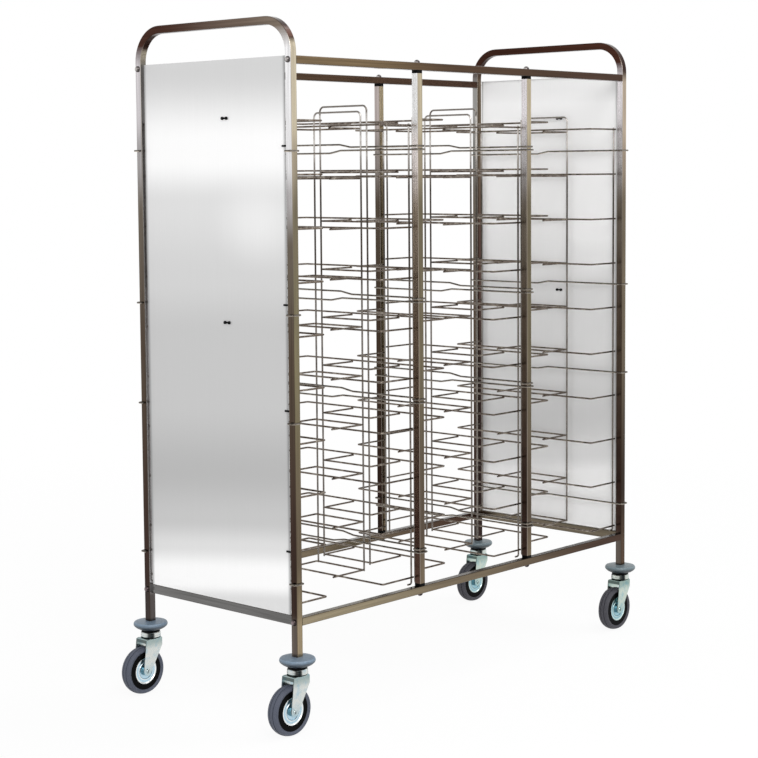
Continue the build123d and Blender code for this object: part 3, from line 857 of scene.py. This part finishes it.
class TROLLEY_OT_racks(bpy.types.Operator):
    """Drawn wire on the racks and their rods, and weld beads where wires cross"""

    bl_idname = "trolley.racks"
    bl_label = "Finish racks"

    def execute(self, context):
        finish = context.scene.trolley_finish
        racks = [f"rack_bay_{bay}_{end}" for bay in BAYS for end in ENDS]
        # Drawn stainless wire: short streaks of dark and bright mirror, with a painted reflection
        # that leaves it darker on top
        wire = mottled(
            "drawn_steel_wire", (finish.wire_dark, finish.wire, finish.wire_light),
            grain_mm=16.0, rough=0.2, bump=0.04, Metallic=1.0,
            layers=[(
                "Normal", "Z",
                [(-1.0, grey(1.0)), (-0.3, grey(0.9)), (0.4, grey(0.6)), (1.0, grey(0.75))],
            )],
        )
        finish_nodes([f"{rack}_shelves" for rack in racks], wire)
        # Upright drawn wire with painted reflections by height: white near its top, a dark part of
        # the room below, then both, and darker on top
        mixed, dark_reflection = (0.36, 0.34, 0.32), (0.14, 0.125, 0.11)
        rise = [
            (1040 * MM, mixed), (1110 * MM, dark_reflection), (1320 * MM, dark_reflection),
            (1385 * MM, (0.5, 0.48, 0.46)), (1440 * MM, grey(1.0)), (1522 * MM, grey(1.0)),
            (1531 * MM, mixed),
        ]
        upright = mottled(
            "drawn_steel_upright", shades(finish.wire_white, 0.75, 1.0, 1.2),
            grain_mm=16.0, rough=0.2, bump=0.04, Metallic=1.0,
            layers=[
                ("Object", "Z", rise),
                ("Normal", "Z", [(-0.3, grey(0.9)), (0.4, grey(0.65)), (1.0, grey(0.75))]),
            ],
        )
        finish_nodes([f"{rack}_uprights" for rack in racks], upright)
        # Bright drawn rod: smoother than the wire, with a painted reflection that is light where it
        # would mirror the floor and dark on top
        hooked = mottled(
            "bright_steel_rod", (finish.wire, finish.wire_light, shade(finish.wire_light, 1.5)),
            grain_mm=16.0, rough=0.16, bump=0.02, Metallic=1.0,
            layers=[(
                "Normal", "Z",
                [(-1.0, grey(1.0)), (-0.35, grey(0.8)), (0.1, grey(0.2)), (1.0, grey(0.25))],
            )],
        )
        finish_nodes([f"{rack}_rods" for rack in racks], hooked)
        for rack in racks:
            self.weld(context, rack, wire)
        return {"FINISHED"}

    def weld(self, context, rack, wire):
        """Small weld beads wherever two wires of one rack cross."""
        sizes = context.scene.trolley_sizes
        low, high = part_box(f"{rack}_uprights")
        rod_low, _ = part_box(f"{rack}_rods")
        half_wire = sizes.wire / 2
        side = 1 if rack.endswith("left") else -1
        plane = (low.x if side > 0 else high.x) + side * half_wire
        top_level = high.z - half_wire - sizes.hairpin_rise
        leg = sizes.hairpin_half - sizes.loop_outset / 2
        spots = []
        for level in range(sizes.levels):
            z = top_level - level * sizes.level_pitch
            for way in (-1, 1):
                arm = sizes.hairpin_offset + way * (sizes.hairpin_half + sizes.loop_outset)
                spots.append((0.0, way * (sizes.upright_y + half_wire), z))
                spots.append((sizes.runner_reach, arm, z - half_wire))
                spots.append((half_wire, sizes.hairpin_offset + way * leg, z - sizes.wire))
        for level in ROD_LEVELS:
            rod_z = rod_low.z + half_wire + level * sizes.level_pitch
            for y in (-sizes.upright_y, sizes.hairpin_offset - sizes.hairpin_half):
                spots.append((half_wire, y, rod_z))
            for y in (sizes.hairpin_offset + sizes.hairpin_half, sizes.upright_y):
                spots.append((half_wire, y, rod_z + sizes.rod_step))
        beads = bmesh.new()
        for x, y, z in spots:
            bmesh.ops.create_icosphere(
                beads, subdivisions=1, radius=sizes.bead,
                matrix=Matrix.Translation((plane + side * x, side * y, z)),
            )
        for face in beads.faces:
            face.smooth = True
        mesh = bpy.data.meshes.new(f"{rack}_welds")
        beads.to_mesh(mesh)
        beads.free()
        mesh.materials.append(wire)
        piece = bpy.data.objects.new(f"{rack}_welds", mesh)
        context.scene.collection.objects.link(piece)
        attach(piece, "frame")


class TROLLEY_OT_casters(bpy.types.Operator):
    """Zinc, rubber and plastic on the casters, and the same plastic on caps and clips"""

    bl_idname = "trolley.casters"
    bl_label = "Finish casters"

    def execute(self, context):
        finish = context.scene.trolley_finish
        self.forks(finish)
        self.wheels(finish)
        self.plastics(finish)
        return {"FINISHED"}

    def forks(self, finish):
        """Zinc plate with a cream and blue bloom, and painted dark reflection bands by facing."""
        bloom = (finish.zinc_cool, finish.zinc_warm, finish.zinc_cool)
        # Pressed steel, zinc plated and passivated: a cool bright mirror with painted reflections by
        # facing, bluer near the axle
        mirror = [
            (-1.0, grey(0.3)), (-0.86, grey(1.0)), (-0.6, grey(0.9)), (-0.45, finish.zinc_dark_reflection),
            (-0.3, finish.zinc_dark_reflection), (-0.12, grey(0.8)), (0.05, grey(1.0)), (0.5, grey(0.85)),
            (0.72, finish.zinc_dark_reflection), (1.0, grey(0.5)),
        ]
        rising = [
            (45 * MM, finish.zinc_low), (90 * MM, grey(1.0)), (115 * MM, grey(1.0)),
            (140 * MM, finish.zinc_high),
        ]
        zinc = mottled(
            "blue_passivated_zinc", bloom, grain_mm=30.0, rough=0.18, bump=0.01, Metallic=1.0,
            layers=[
                ("Normal", "X", mirror), ("Object", "Z", rising),
                pair_painted_light((0.98, 1.0, 1.03), (0.82, 0.92, 0.88)),
            ],
        )
        # Turned races, zinc plated: smoother than the forks, with one broad painted dark reflection
        # band
        band = [
            (-1.0, grey(0.95)), (-0.93, grey(0.8)), (-0.78, grey(0.07)), (-0.52, finish.zinc_dark_reflection),
            (-0.42, grey(0.07)), (-0.25, grey(0.9)), (0.3, grey(1.0)), (0.6, grey(0.6)),
            (1.0, finish.zinc_dark_reflection),
        ]
        race = mottled(
            "bright_zinc_race", bloom, grain_mm=30.0, rough=0.14, bump=0.01, Metallic=1.0,
            layers=[("Normal", "X", band), pair_painted_light((0.98, 1.0, 1.03), (0.9, 0.95, 0.94))],
        )
        finish_nodes([f"{piece}_{corner}" for piece in ("fork", "axle") for corner in CORNERS], zinc)
        finish_nodes(["swivel_heads"], race)

    def wheels(self, finish):
        """Stamped zinc discs and grey rubber tyres."""
        # Stamped plate, passivated: pale blue, with a painted highlight ring and a painted shade
        # ring at the pressed bead
        rings = [
            (12 * MM, finish.hub), (14 * MM, finish.disc_blue), (20 * MM, finish.disc_blue),
            (21.5 * MM, finish.disc_bead_shade), (24 * MM, finish.disc_ring_highlight), (26 * MM, finish.disc_blue),
            (30 * MM, finish.disc_blue), (31.5 * MM, finish.disc_ring_highlight), (35 * MM, finish.disc_ring_highlight),
        ]
        plate = mottled(
            "blue_passivated_disc", [grey(level) for level in (0.85, 0.93, 1.0)],
            grain_mm=12.0, rough=0.22, bump=0.01, Metallic=1.0,
            layers=[("Axle", None, rings), pair_painted_light(grey(1.0), (0.66, 0.79, 0.77))],
        )
        # Moulded rubber: matt and finely pebbled, with no clear highlight, and painted shade on the
        # right pair
        rubber = mottled(
            "grey_tyre_rubber", shades(finish.tyre, 0.82, 1.0, 1.2),
            grain_mm=2.2, rough=0.6, bump=0.25, Metallic=0.0,
            layers=[pair_painted_light((1.0, 1.05, 1.14), (0.66, 0.6, 0.58))],
        )
        finish_nodes([f"wheel_discs_{corner}" for corner in CORNERS], plate)
        finish_nodes([f"tyre_{corner}" for corner in CORNERS], rubber)

    def plastics(self, finish):
        """Soft vinyl bumpers, and black nylon rims, seals, caps and clips."""
        # Dipped vinyl: smooth, with a painted soft light above and painted shade on the underside
        under = [
            (-1.0, finish.bumper_underside_shade), (-0.4, grey(0.35)), (0.2, grey(0.8)), (0.6, grey(1.0)),
            (1.0, grey(0.75)),
        ]
        bumper = mottled(
            "grey_bumper_vinyl", shades(finish.bumper, 0.84, 1.0, 1.16),
            grain_mm=6.0, rough=0.4, bump=0.04, Metallic=0.0,
            layers=[("Normal", "Z", under), pair_painted_light((1.05, 1.04, 1.02), (1.02, 0.96, 0.8))],
        )
        # Moulded nylon: nearly black, with a fine matt grain and hardly a highlight
        matt = {"Specular IOR Level": 0.06}
        plastic = mottled(
            "black_moulded_nylon", shades(finish.plastic, 0.6, 1.0, 1.5),
            grain_mm=1.2, rough=0.5, bump=0.08, Metallic=0.0, **matt,
        )
        # The same nylon on the rims, with a zinc bush in the middle
        hubbed = [
            (0.0, finish.hub), (12 * MM, finish.hub), (12.3 * MM, finish.plastic),
            (50 * MM, finish.plastic),
        ]
        rim = mottled(
            "black_nylon_rim_zinc_hub", [grey(level) for level in (0.7, 0.85, 1.0)],
            grain_mm=1.2, rough=0.5, bump=0.08, layers=[("Axle", None, hubbed)], hub_metal=BUSH,
            **matt,
        )
        finish_nodes([f"rim_{corner}" for corner in CORNERS], rim)
        finish_nodes(["bumpers"], bumper)
        finish_nodes(["head_seals", "foot_plugs", "tube_caps", "rail_plugs", "panel_clips"], plastic)


class TROLLEY_OT_stage(bpy.types.Operator):
    """White paper floor, soft light and the camera at the photograph's angle"""

    bl_idname = "trolley.stage"
    bl_label = "Set the stage"

    def execute(self, context):
        scene = context.scene
        floor_mesh = bpy.data.meshes.new("floor")
        shape = bmesh.new()
        bmesh.ops.create_grid(shape, x_segments=1, y_segments=1, size=FLOOR_HALF)
        shape.to_mesh(floor_mesh)
        shape.free()
        floor = bpy.data.objects.new("floor", floor_mesh)
        scene.collection.objects.link(floor)
        floor_mesh.materials.append(self.studio_paper())
        scene.world = self.studio_air()
        for name, place, size, power in LAMPS:
            lamp = bpy.data.lights.new(name, "AREA")
            lamp.shape = "DISK"
            lamp.size = size
            lamp.energy = power
            stand = bpy.data.objects.new(name, lamp)
            scene.collection.objects.link(stand)
            stand.location = place
            aim = Vector(LAMP_AIM) - Vector(place)
            stand.rotation_euler = aim.to_track_quat("-Z", "Y").to_euler()
        self.place_camera(scene)
        scene.view_settings.view_transform = "Standard"
        return {"FINISHED"}

    def place_camera(self, scene):
        """The photograph's view, with a tilt in place of most of the shift of its frame."""
        sizes = scene.trolley_sizes
        view = bpy.data.cameras.new("photo_view")
        view.sensor_width = SENSOR_WIDTH
        view.lens = sizes.lens
        view.shift_y = sizes.camera_shift
        view.clip_end = SIGHT
        camera = bpy.data.objects.new("photo_view", view)
        scene.collection.objects.link(camera)
        turn = Matrix.Rotation(sizes.camera_turn, 4, "Z")
        tilt = Matrix.Rotation(math.radians(90) - sizes.camera_tilt, 4, "X")
        roll = Matrix.Rotation(sizes.camera_roll, 4, "Z")
        camera.matrix_world = Matrix.Translation(sizes.camera) @ turn @ tilt @ roll
        scene.camera = camera

    def studio_paper(self):
        """Matt white paper that stays near white to the eye and still takes a shadow."""
        material = bpy.data.materials.new("studio_paper")
        material.use_nodes = True
        tree = material.node_tree
        tree.nodes.clear()
        spot = put(tree, "ShaderNodeTexCoord")
        away = put(tree, "ShaderNodeVectorMath", {0: spot.outputs["Object"]}, operation="LENGTH")
        glow = put(
            tree, "ShaderNodeMapRange",
            {
                "Value": away.outputs["Value"], "From Min": GLOW_REACH[0], "From Max": GLOW_REACH[1],
                "To Min": GLOW_SHARE[0], "To Max": GLOW_SHARE[1],
            },
        )
        share = put(
            tree, "ShaderNodeMath", {0: self.seen_directly(tree), 1: glow.outputs["Result"]},
            operation="MULTIPLY",
        )
        paper = put(tree, "ShaderNodeBsdfDiffuse", {"Color": rgba(linear("f0f0f0"))})
        white = put(tree, "ShaderNodeEmission", {"Strength": 1.0})
        both = put(
            tree, "ShaderNodeMixShader",
            {0: share.outputs[0], 1: paper.outputs["BSDF"], 2: white.outputs["Emission"]},
        )
        put(tree, "ShaderNodeOutputMaterial", {"Surface": both.outputs["Shader"]})
        return material

    def studio_air(self):
        """Even light all round, white where it is seen directly or in a reflection."""
        world = bpy.data.worlds.new("studio_air")
        world.use_nodes = True
        tree = world.node_tree
        tree.nodes.clear()
        light, white = (
            put(tree, "ShaderNodeBackground", {"Color": rgba(grey(1.0)), "Strength": strength})
            for strength in (ROOM_LIGHT, 1.0)
        )
        both = put(
            tree, "ShaderNodeMixShader",
            {
                0: self.seen_directly(tree), 1: light.outputs["Background"],
                2: white.outputs["Background"],
            },
        )
        put(tree, "ShaderNodeOutputWorld", {"Surface": both.outputs["Shader"]})
        return world

    def seen_directly(self, tree):
        """One for camera, glossy and transmission rays, nought for light that falls on things."""
        path = put(tree, "ShaderNodeLightPath")
        mirrored = put(
            tree, "ShaderNodeMath",
            {0: path.outputs["Is Glossy Ray"], 1: path.outputs["Is Transmission Ray"]},
            operation="MAXIMUM",
        )
        seen = put(
            tree, "ShaderNodeMath", {0: path.outputs["Is Camera Ray"], 1: mirrored.outputs[0]},
            operation="MAXIMUM",
        )
        return seen.outputs[0]


OPERATORS = (
    TROLLEY_OT_tubes, TROLLEY_OT_sheets, TROLLEY_OT_racks, TROLLEY_OT_casters, TROLLEY_OT_stage,
)


class TROLLEY_PT_panel(bpy.types.Panel):
    """Lists the trolley's sizes and colours, and a button for each step"""

    bl_idname = "TROLLEY_PT_panel"
    bl_label = "Tray trolley"
    bl_space_type = "VIEW_3D"
    bl_region_type = "UI"
    bl_category = "Trolley"

    def draw(self, context):
        for group in (context.scene.trolley_sizes, context.scene.trolley_finish):
            for key in group.bl_rna.properties.keys():
                if key not in ("rna_type", "name"):
                    self.layout.prop(group, key)
        for operator in OPERATORS:
            self.layout.operator(operator.bl_idname)


CLASSES = (TrolleyFinish, TrolleySizes, *OPERATORS, TROLLEY_PT_panel)


def register():
    for cls in CLASSES:
        bpy.utils.register_class(cls)
    bpy.types.Scene.trolley_finish = bpy.props.PointerProperty(type=TrolleyFinish)
    bpy.types.Scene.trolley_sizes = bpy.props.PointerProperty(type=TrolleySizes)


def unregister():
    del bpy.types.Scene.trolley_sizes
    del bpy.types.Scene.trolley_finish
    for cls in reversed(CLASSES):
        bpy.utils.unregister_class(cls)


def main():
    register()
    bpy.ops.trolley.tubes()
    bpy.ops.trolley.sheets()
    bpy.ops.trolley.racks()
    bpy.ops.trolley.casters()
    bpy.ops.trolley.stage()


if __name__ == "__main__":
    main()
